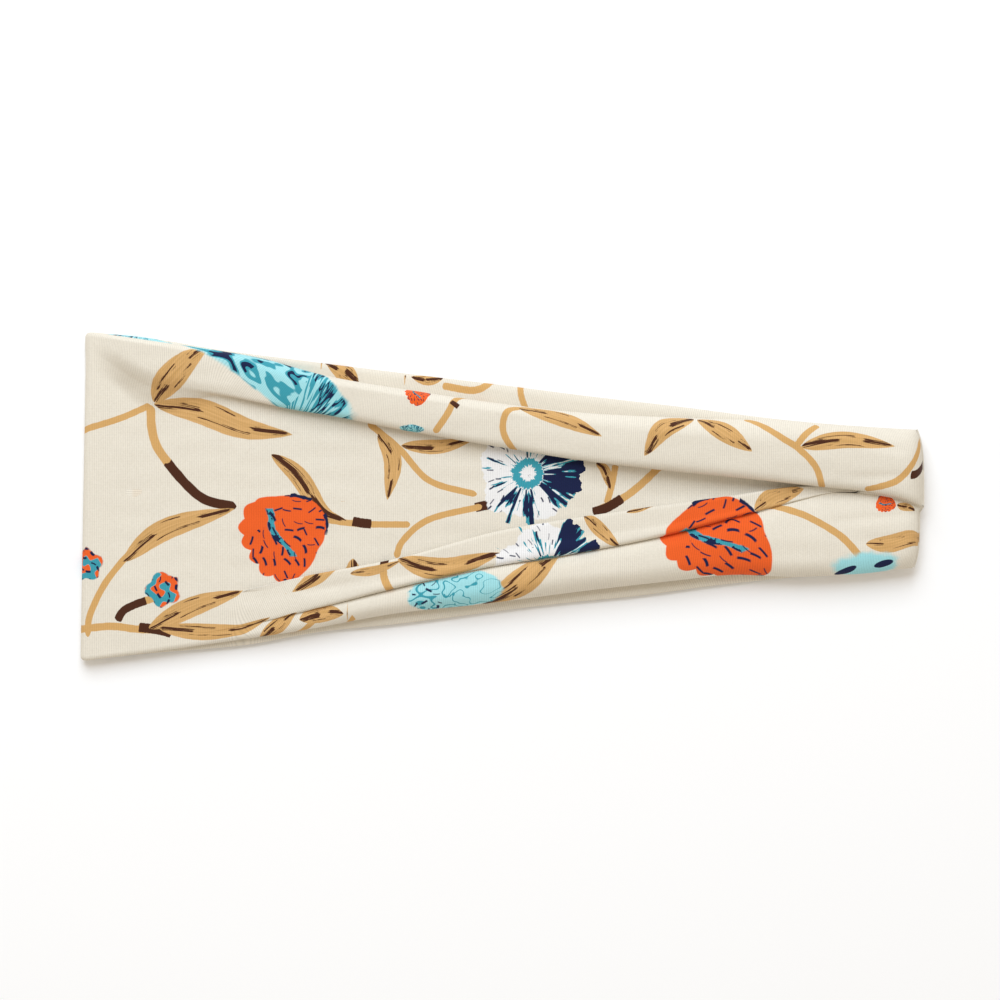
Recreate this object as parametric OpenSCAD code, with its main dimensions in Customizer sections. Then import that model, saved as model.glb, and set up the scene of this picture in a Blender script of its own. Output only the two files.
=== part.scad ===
// Wide gathered headband of printed knit, lying flat.
// One panel of jersey is folded lengthwise and seamed into a tube. The tube's pleated ends are
// sewn together at the nape, which makes a loop. The loop lies flat: its lower half on the surface
// and its upper half on top, joined by a soft fold at the crown and by the seam at the nape.
// +X runs from the crown to the nape, +Z is up, and the origin is on the surface, under the middle.

/* [Band] */
// Length of the flat band, from the crown fold to the nape
band_l = 240; // [220:1:260]
// Width across the crown fold
crown_w = 94; // [84:1:104]

/* [Cloth] */
// Thickness of one ply of the knit
ply = 0.5; // [0.4:0.05:0.6]
// Air between the lower half and the upper half
air = 0.3; // [0.3:0.05:0.5]

/* [Pleats] */
// Height of the top pleat where it is fullest
top_pleat_h = 5.4; // [4:0.2:6]
// Height of the middle pleat where it is fullest
mid_pleat_h = 3.6; // [2.4:0.2:4.2]
// Height of the low pleat where it is fullest
low_pleat_h = 4.4; // [3:0.2:5]

/* [Seams] */
// Width of the cloth caught in the long seam of the tube
tube_seam_w = 5; // [4:0.5:7]
// Length of the cloth caught in the nape seam
nape_seam_l = 7; // [6:0.5:8]
// Diameter of the overlock thread
thread_d = 0.25; // [0.2:0.05:0.3]
// Distance from one overlock stitch to the next
stitch_pitch = 2.4; // [2:0.2:3]

/* [Hidden] */
hair = 0.05;

cream = "#ece2d0";
cream_shade = "#ddd2bf";
thread_white = "#f4efe4";

// Lines along the band. Each point is its share of band_l from the crown and its share of crown_w
// from the middle. The outlines of the two halves, of which the lower one is the wider:
LOWER_TOP = [[0, 0.5], [0.16, 0.447], [0.38, 0.375], [0.6, 0.307], [0.84, 0.23], [1, 0.2]];
LOWER_LOW = [[0, -0.5], [0.21, -0.447], [0.37, -0.39], [0.67, -0.301], [0.9, -0.235], [1, -0.21]];
UPPER_TOP = [[0, 0.5], [0.16, 0.442], [0.29, 0.37], [0.52, 0.274], [0.7, 0.236], [1, 0.199]];
UPPER_LOW = [[0, -0.5], [0.1, -0.466], [0.25, -0.412], [0.58, -0.292], [0.77, -0.237],
             [0.9, -0.236], [1, -0.208]];
// The low edge of the top pleat, and the two edges of the middle pleat:
TOP_CREASE = [[0, 0.37], [0.14, 0.323], [0.38, 0.204], [0.58, 0.11], [0.83, 0.04], [1, -0.032]];
MID_CREASE = [[0, -0.36], [0.18, -0.29], [0.33, -0.2], [0.5, -0.104], [0.7, -0.022], [0.9, 0.04]];
LOW_CREASE = [[0, -0.46], [0.19, -0.396], [0.44, -0.25], [0.64, -0.145], [0.86, -0.02],
              [1, -0.05]];

// Levels of the stack, from the surface up
seam_t = 2 * ply;
lower_inner_z = ply + 2 * hair + thread_d + seam_t;
upper_inner_z = lower_inner_z + ply + air;
upper_seam_z = upper_inner_z + ply;
centre_z = upper_seam_z + seam_t + thread_d + hair;
pleat_z = centre_z + ply + hair;
stack_h = pleat_z + top_pleat_h;

// The turned cloth at the two ends is round about an axis along Y
crown_r = (centre_z + ply) / 2;
crown_inner_r = (upper_inner_z + ply - lower_inner_z) / 2;
crown_x = crown_r - band_l / 2;
nape_r = stack_h / 2;
nape_x = band_l / 2 - nape_r;
inset = 0.8;

f_crown = crown_r / band_l;
f_nape = 1 - nape_r / band_l;
f_air = air / band_l;
f_seam = f_nape - (nape_seam_l + 2 * air) / band_l;
stations = 24;
arc_steps = 12;

function along(f) = (f - 0.5) * band_l;
function steps(f0, f1) = [for (i = [0:stations]) f0 + (f1 - f0) * i / stations];
function reversed(list) = [for (i = [len(list) - 1:-1:0]) list[i]];

// A line's distance from the middle at f, on a smooth curve through the line's points
function slope(line, i) =
    let (a = max(0, i - 1), b = min(len(line) - 1, i + 1))
        (line[b][1] - line[a][1]) / (line[b][0] - line[a][0]);
function span(line, f, i = 0) = i >= len(line) - 2 || f <= line[i + 1][0] ? i : span(line, f, i + 1);
function edge(line, f) =
    let (i = span(line, f), step = line[i + 1][0] - line[i][0], t = (f - line[i][0]) / step,
         m0 = slope(line, i) * step, m1 = slope(line, i + 1) * step)
        crown_w * ((2 * t * t * t - 3 * t * t + 1) * line[i][1] + (t * t * t - 2 * t * t + t) * m0
                   + (3 * t * t - 2 * t * t * t) * line[i + 1][1] + (t * t * t - t * t) * m1);

// Rises smoothly from 0 at a to 1 at b
function rise(f, a, b) = let (t = min(1, max(0, (f - a) / (b - a)))) t * t * (3 - 2 * t);

// A flat ply between two lines, drawn in from both by the same amount
module flat_ply(top, low, f0, f1, thick, drawn_in = 0) {
    run = steps(f0, f1);
    far = [for (f = run) [along(f), edge(top, f) - drawn_in]];
    near = [for (f = run) [along(f), edge(low, f) + drawn_in]];
    linear_extrude(thick) polygon(concat(far, reversed(near)));
}

// A flat strip of constant width beside a line
module strip(line, f0, f1, from, wide, thick) {
    run = steps(f0, f1);
    far = [for (f = run) [along(f), edge(line, f) + from + wide]];
    near = [for (f = run) [along(f), edge(line, f) + from]];
    linear_extrude(thick) polygon(concat(far, reversed(near)));
}

// A soft roll of cloth with a flat underside. lows, tops and heights have one value a station,
// and the top of each section is a flattened half oval.
module soft_roll(lows, tops, heights, f0, f1) {
    run = steps(f0, f1);
    n = arc_steps + 1;
    points = [
        for (i = [0:stations], j = [0:arc_steps])
            let (a = 180 * j / arc_steps)
                [along(run[i]),
                 (lows[i] + tops[i]) / 2 - (tops[i] - lows[i]) / 2 * cos(a),
                 heights[i] * pow(max(0, sin(a)), 0.7)]
    ];
    skin = [
        for (i = [0:stations - 1], j = [0:arc_steps])
            let (k = (j + 1) % n) [i * n + j, i * n + k, (i + 1) * n + k, (i + 1) * n + j]
    ];
    caps = [[for (j = [arc_steps:-1:0]) j], [for (j = [0:arc_steps]) stations * n + j]];
    polyhedron(points, concat(skin, caps), convexity = 4);
}

// Cloth turned about an axis along Y, on the -X side of it, from level low_z to level high_z
module turned_cloth(radius, thick, y_low, y_top, low_z, high_z) {
    translate([0, y_top, 0]) rotate([90, 0, 0]) linear_extrude(y_top - y_low)
        intersection() {
            difference() {
                circle(radius, $fn = 48);
                circle(radius - thick, $fn = 48);
            }
            translate([-2 * radius, low_z]) square([2 * radius, high_z - low_z]);
        }
}

// Overlock thread: one bar across the allowance at each stitch, beside the middle line
module stitch_row(f0, f1, wide, z) {
    count = floor((f1 - f0) * band_l / stitch_pitch);
    for (i = [0:count - 1])
        translate([along(f0) + (i + 0.5) * stitch_pitch, -wide / 2, z])
            cube([thread_d, wide, thread_d]);
}

module lower_outer_ply() {
    color(cream_shade) flat_ply(LOWER_TOP, LOWER_LOW, f_crown, f_nape, ply);
}

// The cloth folded into the lower half's tube, which gathers it towards the nape
module lower_top_pleat() {
    color(cream_shade) translate([0, 0, ply + hair])
        strip(LOWER_TOP, 0.35, f_seam, -2 - tube_seam_w, tube_seam_w, ply);
}

module lower_low_pleat() {
    color(cream_shade) translate([0, 0, ply + hair])
        strip(LOWER_LOW, 0.35, f_seam, 2, tube_seam_w, ply);
}

module lower_inner_ply() {
    color(cream) translate([0, 0, lower_inner_z])
        flat_ply(LOWER_TOP, LOWER_LOW, f_crown, f_seam, ply, inset);
}

// The long seam's allowance, which hangs inside the tube from the middle of the inner ply
module lower_tube_seam() {
    color(cream_shade) translate([along(f_crown), -tube_seam_w / 2, lower_inner_z - seam_t])
        cube([along(f_seam) - along(f_crown), tube_seam_w, seam_t]);
}

module lower_tube_thread() {
    color(thread_white)
        stitch_row(f_crown, f_seam, tube_seam_w - 1, lower_inner_z - seam_t - thread_d);
}

module crown_fold_outer() {
    color(cream) translate([crown_x, 0, crown_r])
        turned_cloth(crown_r, ply, edge(LOWER_LOW, f_crown), edge(LOWER_TOP, f_crown),
                     -crown_r, crown_r);
}

module crown_fold_inner() {
    color(cream_shade) translate([crown_x, 0, lower_inner_z + crown_inner_r])
        turned_cloth(crown_inner_r, ply, edge(LOWER_LOW, f_crown) + inset,
                     edge(LOWER_TOP, f_crown) - inset, -crown_inner_r, crown_inner_r);
}

// At the nape both plies of each half turn in to the seam at mid height
module lower_nape_end() {
    color(cream_shade) translate([nape_x, 0, nape_r]) mirror([1, 0, 0])
        turned_cloth(nape_r, 2 * ply, edge(LOWER_LOW, f_nape), edge(LOWER_TOP, f_nape),
                     -nape_r, -thread_d / 2);
}

module upper_nape_end() {
    color(cream) translate([nape_x, 0, nape_r]) mirror([1, 0, 0])
        turned_cloth(nape_r, 2 * ply, edge(UPPER_LOW, f_nape), edge(UPPER_TOP, f_nape),
                     -thread_d / 2 + hair, nape_r);
}

// The bundle of pleated ends that the nape seam catches, inside the loop
module nape_seam_allowance() {
    low_z = ply + hair;
    y0 = edge(LOWER_LOW, f_nape) + 1.5;
    y1 = edge(LOWER_TOP, f_nape) - 1.5;
    color(cream_shade) translate([along(f_seam) + air, y0, low_z])
        cube([nape_seam_l, y1 - y0, centre_z - air - thread_d - low_z]);
}

// Overlock thread over the raw ends of the bundle
module nape_seam_thread() {
    y0 = edge(LOWER_LOW, f_nape) + 2.5;
    y1 = edge(LOWER_TOP, f_nape) - 2.5;
    count = floor((y1 - y0) / stitch_pitch);
    color(thread_white)
        for (i = [0:count])
            translate([along(f_seam) + air + hair, y0 + i * (y1 - y0) / count,
                       centre_z - air - thread_d])
                cube([nape_seam_l - 2, thread_d, thread_d]);
}

module upper_inner_ply() {
    color(cream) translate([0, 0, upper_inner_z])
        flat_ply(UPPER_TOP, UPPER_LOW, f_crown + f_air, f_seam, ply, inset);
}

module upper_tube_seam() {
    color(cream_shade) translate([along(f_crown) + air, -tube_seam_w / 2, upper_seam_z])
        cube([along(f_seam) - along(f_crown) - air, tube_seam_w, seam_t]);
}

module upper_tube_thread() {
    color(thread_white)
        stitch_row(f_crown + f_air, f_seam, tube_seam_w - 1, upper_seam_z + seam_t);
}

// The outer ply that the three pleats lie on, bare between the top and the middle pleat
module upper_centre_ply() {
    color(cream) translate([0, 0, centre_z])
        flat_ply(UPPER_TOP, UPPER_LOW, f_crown + f_air, f_nape - f_air, ply);
}

module upper_top_pleat() {
    f0 = 0.12;
    run = steps(f0, f_nape - f_air);
    color(cream) translate([0, 0, pleat_z])
        soft_roll([for (f = run) edge(TOP_CREASE, f)],
                  [for (f = run) edge(UPPER_TOP, f)],
                  [for (f = run) 0.8 + (top_pleat_h - 0.8) * rise(f, 0.1, 0.5)],
                  f0, f_nape - f_air);
}

// It narrows to nothing where the top pleat closes over it
module upper_mid_pleat() {
    f0 = 0.2;
    f1 = 0.84;
    run = steps(f0, f1);
    color(cream) translate([0, 0, pleat_z])
        soft_roll([for (f = run) edge(LOW_CREASE, f) + hair],
                  [for (f = run) min(edge(MID_CREASE, f), edge(TOP_CREASE, f)) - hair],
                  [for (f = run) 0.8 + (mid_pleat_h - 0.8) * rise(f, 0.18, 0.4)
                                 * (1 - rise(f, 0.7, 1))], f0, f1);
}

module upper_low_pleat() {
    f0 = 0.16;
    run = steps(f0, f_nape - f_air);
    color(cream) translate([0, 0, pleat_z])
        soft_roll([for (f = run) edge(UPPER_LOW, f)],
                  [for (f = run) min(edge(LOW_CREASE, f), edge(TOP_CREASE, f)) - hair],
                  [for (f = run) 0.8 + (low_pleat_h - 0.8) * rise(f, 0.14, 0.6)],
                  f0, f_nape - f_air);
}

lower_outer_ply();
lower_top_pleat();
lower_low_pleat();
lower_inner_ply();
lower_tube_seam();
lower_tube_thread();
crown_fold_outer();
crown_fold_inner();
lower_nape_end();
upper_nape_end();
nape_seam_allowance();
nape_seam_thread();
upper_inner_ply();
upper_tube_seam();
upper_tube_thread();
upper_centre_ply();
upper_top_pleat();
upper_mid_pleat();
upper_low_pleat();
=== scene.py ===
"""Wide gathered jersey headband, lying flat: the cloth, its seams, its print and its knit."""
import math

import bpy
import numpy as np
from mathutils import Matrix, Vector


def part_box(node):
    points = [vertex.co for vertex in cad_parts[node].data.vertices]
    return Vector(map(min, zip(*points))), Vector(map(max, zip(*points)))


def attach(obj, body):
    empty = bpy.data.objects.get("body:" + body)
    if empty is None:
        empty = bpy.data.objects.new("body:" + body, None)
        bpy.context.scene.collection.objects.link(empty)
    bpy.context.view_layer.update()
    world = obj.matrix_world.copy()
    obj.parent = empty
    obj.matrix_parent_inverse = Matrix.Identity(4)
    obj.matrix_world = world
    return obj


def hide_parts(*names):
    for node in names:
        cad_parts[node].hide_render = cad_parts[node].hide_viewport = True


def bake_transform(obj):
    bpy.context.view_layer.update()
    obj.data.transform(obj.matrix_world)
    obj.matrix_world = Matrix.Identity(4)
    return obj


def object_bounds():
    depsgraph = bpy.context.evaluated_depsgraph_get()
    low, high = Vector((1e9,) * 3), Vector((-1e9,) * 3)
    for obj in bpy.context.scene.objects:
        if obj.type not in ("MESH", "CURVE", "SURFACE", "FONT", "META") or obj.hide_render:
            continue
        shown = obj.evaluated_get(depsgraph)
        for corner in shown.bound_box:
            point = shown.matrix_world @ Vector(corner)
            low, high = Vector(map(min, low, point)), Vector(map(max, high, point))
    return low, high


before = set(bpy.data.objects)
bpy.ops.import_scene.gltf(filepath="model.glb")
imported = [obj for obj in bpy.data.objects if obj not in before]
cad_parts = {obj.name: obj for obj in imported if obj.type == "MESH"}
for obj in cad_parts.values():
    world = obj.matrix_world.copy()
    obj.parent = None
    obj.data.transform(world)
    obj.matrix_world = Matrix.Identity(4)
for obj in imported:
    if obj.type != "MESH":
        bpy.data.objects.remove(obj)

bl_info = {
    "name": "Gathered Jersey Headband",
    "version": (1, 0, 0),
    "blender": (4, 5, 0),
    "location": "View3D > Sidebar > Headband",
    "description": "Builds a pleated headband of printed jersey around its packed frame",
    "category": "Add Mesh",
}

MM = 0.001
CAD_BOX = [[float(c) for c in corner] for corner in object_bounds()]
LENGTH = (CAD_BOX[1][0] - CAD_BOX[0][0]) / MM
CROWN_WIDTH = (CAD_BOX[1][1] - CAD_BOX[0][1]) / MM
STACK = CAD_BOX[1][2] / MM


# ---------------------------------------------------------------- sizes that a user would change

def size_property(name, description, default, low, high):
    return bpy.props.FloatProperty(name=name, description=description + ", in millimetres",
                                   default=default, min=low, max=high)


def colour_property(name, description, default):
    return bpy.props.FloatVectorProperty(
        name=name, description=description, subtype="COLOR", size=3, min=0, max=1, default=default)


def underside(node):
    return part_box(node)[0][2] / MM


def top_of(node):
    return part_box(node)[1][2] / MM


class HeadbandCloth(bpy.types.PropertyGroup):
    """Sizes of the cloth and its folds."""
    ply: size_property("Ply", "Thickness of one ply", 0.5, 0.3, 0.7)
    crown_level: size_property(
        "Crown level", "Height of the crown fold", top_of("crown_fold_outer"), 3, 8)
    inner_level: size_property(
        "Inner level", "Height of the upper half's inner side", underside("upper_inner_ply") + 0.05,
        2, 5)
    lower_level: size_property(
        "Lower level", "Height of the lower half's inner side", top_of("lower_inner_ply"), 1, 4)
    nape_level: size_property(
        "Nape level", "Height of the nape seam", top_of("lower_nape_end"), 3, 8)
    top_roll: size_property("Top roll", "Rise of the top pleat over the valley", 5.2, 2, 6)
    middle_roll: size_property("Middle roll", "Rise of the middle pleat", 3.0, 1, 4)
    low_roll: size_property("Low roll", "Rise of the low pleat", 3.4, 1, 5)
    wale: size_property("Wale", "Distance between two wales of the knit", 0.52, 0.3, 1.0)


class HeadbandPrint(bpy.types.PropertyGroup):
    """Colours of the print, as linear values."""
    ground: colour_property("Ground", "Cream ground of the cloth", (0.795, 0.74, 0.635))
    tan: colour_property("Tan", "Leaves and stems", (0.66, 0.385, 0.138))
    brown: colour_property("Brown", "Brush strokes on leaves and stems", (0.07, 0.021, 0.008))
    orange: colour_property("Orange", "Orange blooms", (0.85, 0.12, 0.018))
    teal: colour_property("Teal", "Teal of the blue blooms", (0.045, 0.33, 0.41))
    aqua: colour_property("Aqua", "Pale blooms", (0.36, 0.72, 0.76))
    navy: colour_property("Navy", "Dark petals and outlines", (0.007, 0.013, 0.058))
    white: colour_property("White", "White petals", (0.86, 0.85, 0.84))
    thread: colour_property("Thread", "Overlock thread in the seams", (0.8, 0.78, 0.73))


# ---------------------------------------------------------------- the shape of the band

def rise(a, b, x):
    """Smooth step: 0 up to a, 1 from b on, with level ends."""
    t = np.clip((np.asarray(x, float) - a) / (b - a), 0, 1)
    return t * t * (3 - 2 * t)


def line(points, x):
    """Cubic curve through given points (x, y): each slope is that between its neighbours."""
    px, py = np.array(points, float).T
    slopes = np.gradient(py, px)
    i = np.clip(np.searchsorted(px, x) - 1, 0, len(px) - 2)
    step = px[i + 1] - px[i]
    t = (x - px[i]) / step
    return ((2 * t**3 - 3 * t**2 + 1) * py[i] + (t**3 - 2 * t**2 + t) * step * slopes[i]
            + (3 * t**2 - 2 * t**3) * py[i + 1] + (t**3 - t**2) * step * slopes[i + 1])


# Lines of the folds seen from above, in millimetres: distance along the band, then across it
LOWER_TOP = [(-120, 47.2), (-100, 45.2), (-80, 41.9), (-57, 38.9), (-29, 35.4), (0, 31.9),
             (25, 28.7), (50, 25.8), (82, 21.8), (100, 20.2), (120, 19)]
LOWER_LOW = [(-120, -47.2), (-104, -45.2), (-70, -42), (-53, -38.9), (-31, -36.6), (17, -30.6),
             (40, -28.3), (60, -25.6), (95, -22.1), (120, -20.1)]
UPPER_TOP = [(-120, 47.2), (-100, 44.4), (-82, 41.8), (-69, 39.5), (-52, 34.9), (-23, 29.8),
             (5, 25.8), (17, 24.4), (48, 22.5), (63, 22), (80, 21.6), (100, 20.1), (120, 19)]
UPPER_LOW = [(-120, -47.2), (-96, -43.9), (-77, -41.2), (-60, -38.7), (-29, -33.2), (-5, -30.6),
             (19, -27.5), (51, -23.8), (64, -22.4), (85, -22.9), (100, -22.2), (120, -20.4)]
TOP_CREASE = [(-120, 42), (-115, 39.6), (-110, 36.6), (-104.5, 33.2), (-98, 30.4), (-89, 29.6),
              (-80.5, 28.9), (-70.5, 27), (-57.7, 24.4), (-50, 23.2), (-29, 19), (2, 13.6),
              (20, 10.6), (40, 8.1), (67, 5.3), (91, 2.7), (107, 0.8), (114, -0.8), (120, -3)]
MID_TOP = [(-120, -34), (-95, -30.5), (-76, -27.2), (-57, -22.9), (-28, -17.2), (-1, -9.8),
           (17, -6.6), (30, -4.7), (48, -2.1), (66, 0.4), (81, 2.7), (100, 4), (120, 5)]
MID_LOW = [(-120, -41.5), (-95, -40), (-75, -37.2), (-59, -33.5), (-30, -26.1), (-5, -20.4),
           (20, -16.4), (46, -11.3), (71, -4.7), (85, -1), (95, 1.3), (103, 1.6), (120, 1)]

# Samples across the cloth in each stretch, from the long seam over the top edge and back to it
SAMPLES = dict(seam=4, inner=22, edge=8, roll=26, fold=36, valley=40, middle=16, low=36)


def pleat(samples, half_run, lip, tuck, share):
    """Cloth folded back on itself and forward again, as offsets across and down.

    Three level flights, each 2 half_run long, are joined by two half circles of radii lip and
    tuck, with half of the samples on the half circles. share, from 0 to 1, blends from a straight
    run between the same ends to the whole fold. The sizes are columns, one value a station."""
    fraction = np.linspace(0, 1, samples)[None, :]
    marks = [0, 0.2, 0.48, 0.6, 0.82, 1]
    arc1, arc2, run = math.pi * lip, math.pi * tuck, 2 * half_run
    ends = [0 * run, run, run + arc1, 2 * run + arc1, 2 * run + arc1 + arc2, 3 * run + arc1 + arc2]
    s = sum((ends[k + 1] - ends[k])
            * np.clip((fraction - marks[k]) / (marks[k + 1] - marks[k]), 0, 1) for k in range(5))
    turn1 = np.clip((s - ends[1]) / arc1, 0, 1) * math.pi
    turn2 = np.clip((s - ends[3]) / arc2, 0, 1) * math.pi
    across = (half_run - np.clip(s, 0, ends[1]) - lip * np.sin(turn1)
              + np.clip(s - ends[2], 0, run) + tuck * np.sin(turn2) - np.clip(s - ends[4], 0, run))
    down = lip * (1 - np.cos(turn1)) + tuck * (1 - np.cos(turn2))
    share_of_s = s / ends[5]
    straight = half_run * (1 - 2 * share_of_s)
    even = 2 * (lip + tuck) * (3 * share_of_s**2 - 2 * share_of_s**3)
    return share * across + (1 - share) * straight, share * down + (1 - share) * even


def lesser(a, b, round_off=0.7):
    """The lesser of a and b with the corner between them rounded off: their mean less half of
    sqrt((a - b)**2 + round_off**2)."""
    return (a + b - np.sqrt((a - b)**2 + round_off**2)) / 2


def quarter(share):
    """Rise of a quarter circle: 0 at share 0, upright there, and 1 from share 1 on."""
    return np.sqrt(np.clip(1 - (1 - np.clip(share, 0, 1))**2, 0, 1))


def section(x, cloth):
    """Section of the upper half's tube at each station x, as arrays (stations, samples).

    It starts at the long seam in the middle of the inner ply, goes out to the top edge, over the
    top roll, under it to the valley, over the middle and low rolls and back along the inner ply.
    Both edges are quarter ellipses, and each roll is its rise times a quarter-circle shoulder."""
    x = np.asarray(x, float)[:, None]
    top, low = line(UPPER_TOP, x), line(UPPER_LOW, x)
    crease = line(TOP_CREASE, x)
    mid_top = lesser(line(MID_TOP, x), crease - 0.3 + 1.2 * rise(75, 98, x))
    mid_low = lesser(line(MID_LOW, x), mid_top - 0.5)
    floor = cloth.crown_level - 0.1 + 1.1 * rise(-112, -10, x)
    roll = cloth.top_roll * (1.15 * rise(-119, -105, x) - 0.4 * rise(-102, -80, x)
                             + 0.25 * rise(-90, -15, x) + 0.18 * rise(25, 70, x))
    middle = cloth.middle_roll * rise(-90, -25, x) * (1 - 0.6 * rise(58, 92, x))
    under = cloth.low_roll * rise(-95, 5, x)
    folded = rise(-96, -40, x)
    creased = rise(-92, -35, x)
    inner = cloth.inner_level + 0 * x
    gathers = 1.5 * rise(-70, 60, x)
    edge = 1.1 + 0.9 * rise(-110, 0, x)
    seam_y = (top + low) / 2

    def steps(name, closed=False):
        return np.linspace(0, 1, SAMPLES[name], endpoint=closed)[None, :]

    def inner_at(y):
        share = np.clip((y - low) / (top - low), 0, 1)
        return inner + gathers * (2 - 2 * np.cos(8 * math.pi * share)) * share * (1 - share)

    # the long seam, turned up into the tube, and the inner ply out to the top edge
    t = steps("seam")
    seam_out = (seam_y + 0.1 + 0.9 * t**2, inner_at(seam_y) + 0.9 * (1 - t)**2)
    t = steps("inner")
    y = seam_y + 1 + (top - edge - seam_y - 1) * t
    inner_out = (y, inner_at(y))
    waist = inner + 0.45 * (floor + 0.75 * roll - inner)
    t = steps("edge") * math.pi / 2
    top_edge = (top - edge + edge * np.sin(t), waist - (waist - inner) * np.cos(t))

    # the top roll, and its fold down to the valley
    reach = np.minimum(3.3, 0.28 * (top - crease)) + 2.9 * (1 - rise(-100, -78, x))
    across, down = pleat(SAMPLES["fold"], reach, 0.36 * roll + 0.25, 0.14 * roll + 0.2, folded)
    fold_mid = crease - across[:, :SAMPLES["fold"] // 2].min(axis=1, keepdims=True)
    wide = top - fold_mid - across[:, :1]
    d = wide * (1 - np.cos(steps("roll") * math.pi / 2))
    width = top - crease
    bow = 1 - 0.2 * np.clip((d / width - 0.4) / 0.6, 0, 1)**2
    shoulder = quarter(d / np.minimum(1.4 + 7 * rise(-105, -10, x), 0.8 * wide))
    top_roll = (top - d, waist + (floor + roll * bow - waist) * shoulder)
    fold_y = fold_mid + across
    bow = 1 - 0.2 * np.clip(((top - fold_y) / width - 0.4) / 0.6, 0, 1)**2
    top_fold = (fold_y[:, :-1], (floor + roll * bow * (1 - down / down[:, -1:]))[:, :-1])

    # the valley, and the fold up over the lip of the middle roll, which looks the other way
    reach = np.minimum(2.4, 0.26 * (mid_top - mid_low))
    across, down = pleat(SAMPLES["fold"], reach, 0.3 * middle + 0.15, 0.14 * middle + 0.15, creased)
    across, climb = -across[:, ::-1], (1 - down / down[:, -1:])[:, ::-1]
    lip_mid = mid_top - across[:, SAMPLES["fold"] // 2:].max(axis=1, keepdims=True)
    t = steps("valley")
    y = fold_y[:, -1:] + (lip_mid + across[:, :1] - fold_y[:, -1:]) * t
    valley = (y, floor - (0.3 * folded + 1.0 * rise(15, 60, x)) * np.sin(math.pi * t))
    lip_level = floor + 0.88 * middle
    middle_fold = ((lip_mid + across)[:, :-1], (floor + (lip_level - floor) * climb)[:, :-1])

    # the middle roll down to its crease, and the low roll out to the low edge
    t = steps("middle")
    y = lip_mid + across[:, -1:]
    groove = floor + 0.2 * under
    middle_roll = (y + (mid_low - y) * np.sin(t * math.pi / 2),
                   groove + (lip_level - groove) * np.sqrt(1 - t**2.4)
                   + 0.2 * middle * np.sin(math.pi * t))
    t = steps("low")
    width = mid_low - low
    d = width * np.sin(t * math.pi / 2)
    waist_low = inner + 0.45 * (floor + 0.6 * under - inner)
    dome = 1 - 0.22 * (2 * d / width - 1)**2
    level = groove + creased * (floor + under * dome - groove) * quarter(
        d / ((0.3 + 0.35 * rise(60, 95, x)) * width + 0.3))
    level = level + (1 - creased) * (floor - groove)
    shoulder = quarter((width - d) / np.minimum(1.4 + 3.6 * rise(-95, 0, x), 0.6 * width))
    low_roll = (mid_low - d, waist_low + (level - waist_low) * shoulder)
    t = steps("edge") * math.pi / 2
    low_edge = (low + edge - edge * np.cos(t), waist_low - (waist_low - inner) * np.sin(t))
    t = steps("inner")
    y = low + edge + (seam_y - 1 - low - edge) * t
    inner_back = (y, inner_at(y))
    t = steps("seam", closed=True)
    seam_back = (seam_y - 1 + 0.9 * (1 - (1 - t)**2), inner_at(seam_y) + 0.9 * t**2)

    parts = [seam_out, inner_out, top_edge, top_roll, top_fold, valley, middle_fold, middle_roll,
             low_roll, low_edge, inner_back, seam_back]
    y, z = (np.concatenate([np.broadcast_to(p[k], (len(x), p[k].shape[1])) for p in parts], axis=1)
            for k in (0, 1))
    return y, z, waist


INNER = SAMPLES["seam"] + SAMPLES["inner"]      # samples from the long seam to an edge


def lower_section(x, cloth):
    """The upper half's section pressed flat: its outer side lies on the floor, rolls down, and
    the valley stays a little above it; its inner ply lies under the upper half's."""
    y, z, waist = section(x, cloth)
    x = np.asarray(x, float)[:, None]
    top, low = line(UPPER_TOP, x), line(UPPER_LOW, x)
    wide_top, wide_low = line(LOWER_TOP, x), line(LOWER_LOW, x)
    y = wide_low + (y - low) * (wide_top - wide_low) / (top - low)
    peak = z.max(axis=1, keepdims=True)
    inner, level, half = cloth.inner_level, cloth.lower_level, 0.5 * cloth.lower_level
    outer = half * (peak - z) / (peak - waist)
    inside = level - (z - inner) * (level - half) / (waist - inner)
    return y, np.where(z > waist, outer, inside), waist


def crown_fold(low, high, turns):
    """Half circles, open towards the band, that carry each sample of the lower half's last
    section to the same sample of the upper half's first: rows (turns, samples, 3)."""
    angle = np.linspace(0, math.pi, turns + 2)[1:-1, None]
    share = (1 - np.cos(angle)) / 2
    radius = (high[:, 2] - low[:, 2]) / 2
    x = low[:, 0] - np.abs(radius) * np.sin(angle)
    y = low[:, 1] + (high[:, 1] - low[:, 1]) * share
    z = (low[:, 2] + high[:, 2]) / 2 - radius * np.cos(angle)
    return np.stack([x, y, z], axis=-1)


def unevenness(x, y, seed, length):
    """Slow random waves, from -1 to 1: a sum of six sines in random directions."""
    rng = np.random.default_rng(seed)
    total = 0
    for angle, phase, scale in zip(rng.uniform(0, math.pi, 6), rng.uniform(0, 6.28, 6),
                                   rng.uniform(0.6, 1.6, 6)):
        total = total + np.sin((x * math.cos(angle) + y * math.sin(angle)) * scale / length + phase)
    return total / 3.5


NAPE_TURN = STACK / 2


def settle(x, y, z, cloth):
    """Closes the nape end and slants the crown edge.

    Past the nape's turn each height shrinks to the seam's, on a quarter circle. The ends of the
    rolls there are lobes: their reach falls off as a power of the distance from the middle."""
    end = LENGTH / 2
    turn = np.clip((x - (end - NAPE_TURN)) / NAPE_TURN, 0, 1)
    closing = np.sqrt(1 - 0.998 * turn**2)
    z = cloth.nape_level + (z - cloth.nape_level) * closing
    lobes = 2.2 * np.abs((y + 0.8) / 20.5)**5 + 1.1 * rise(-2.6, -4.6, -np.abs(y) * np.sign(-y))
    x = x - np.clip(lobes, 0, 3) * rise(100, end, x)
    x = x + (0.1 + 0.018 * y) * (1 - rise(-119, -95, x))
    return x, y, z


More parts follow.
